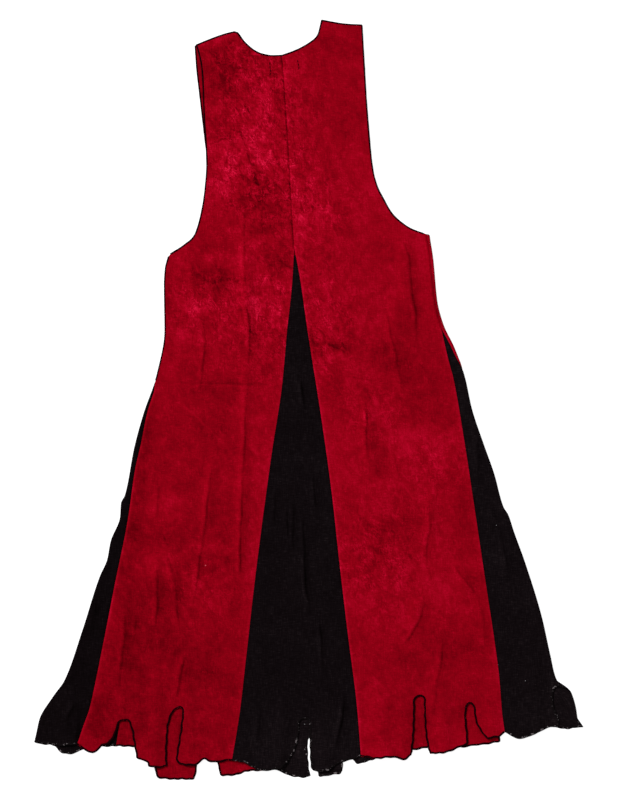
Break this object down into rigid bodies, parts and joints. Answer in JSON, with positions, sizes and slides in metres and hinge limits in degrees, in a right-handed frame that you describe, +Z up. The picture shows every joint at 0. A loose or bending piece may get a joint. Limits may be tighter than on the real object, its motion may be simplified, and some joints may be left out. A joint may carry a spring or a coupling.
{
  "type": "sarafan dress",
  "caption": "Sleeveless flared sarafan dress of hand-dyed red linen with black linen gores and a notched hem, laid flat.",
  "frame": {"origin": "The middle of the dress as it lies, on the surface under it.", "axes": "+X to the right across the dress as it is seen from above, +Y from the hem towards the shoulders, +Z up from the surface."},
  "size_m": [0.906, 1.253, 0.0099],
  "materials": {
    "red_linen": "hand-dyed linen, mottled, matt",
    "black_linen": "dyed linen, matt"
  },
  "bodies": {
    "root": {"back_panel_left": "red_linen", "back_panel_right": "red_linen", "back_gore": "black_linen", "front_panel_left": "red_linen", "front_panel_right": "red_linen", "front_gore": "black_linen", "side_gore_left": "black_linen", "side_gore_right": "black_linen"}
  },
  "joints": []
}
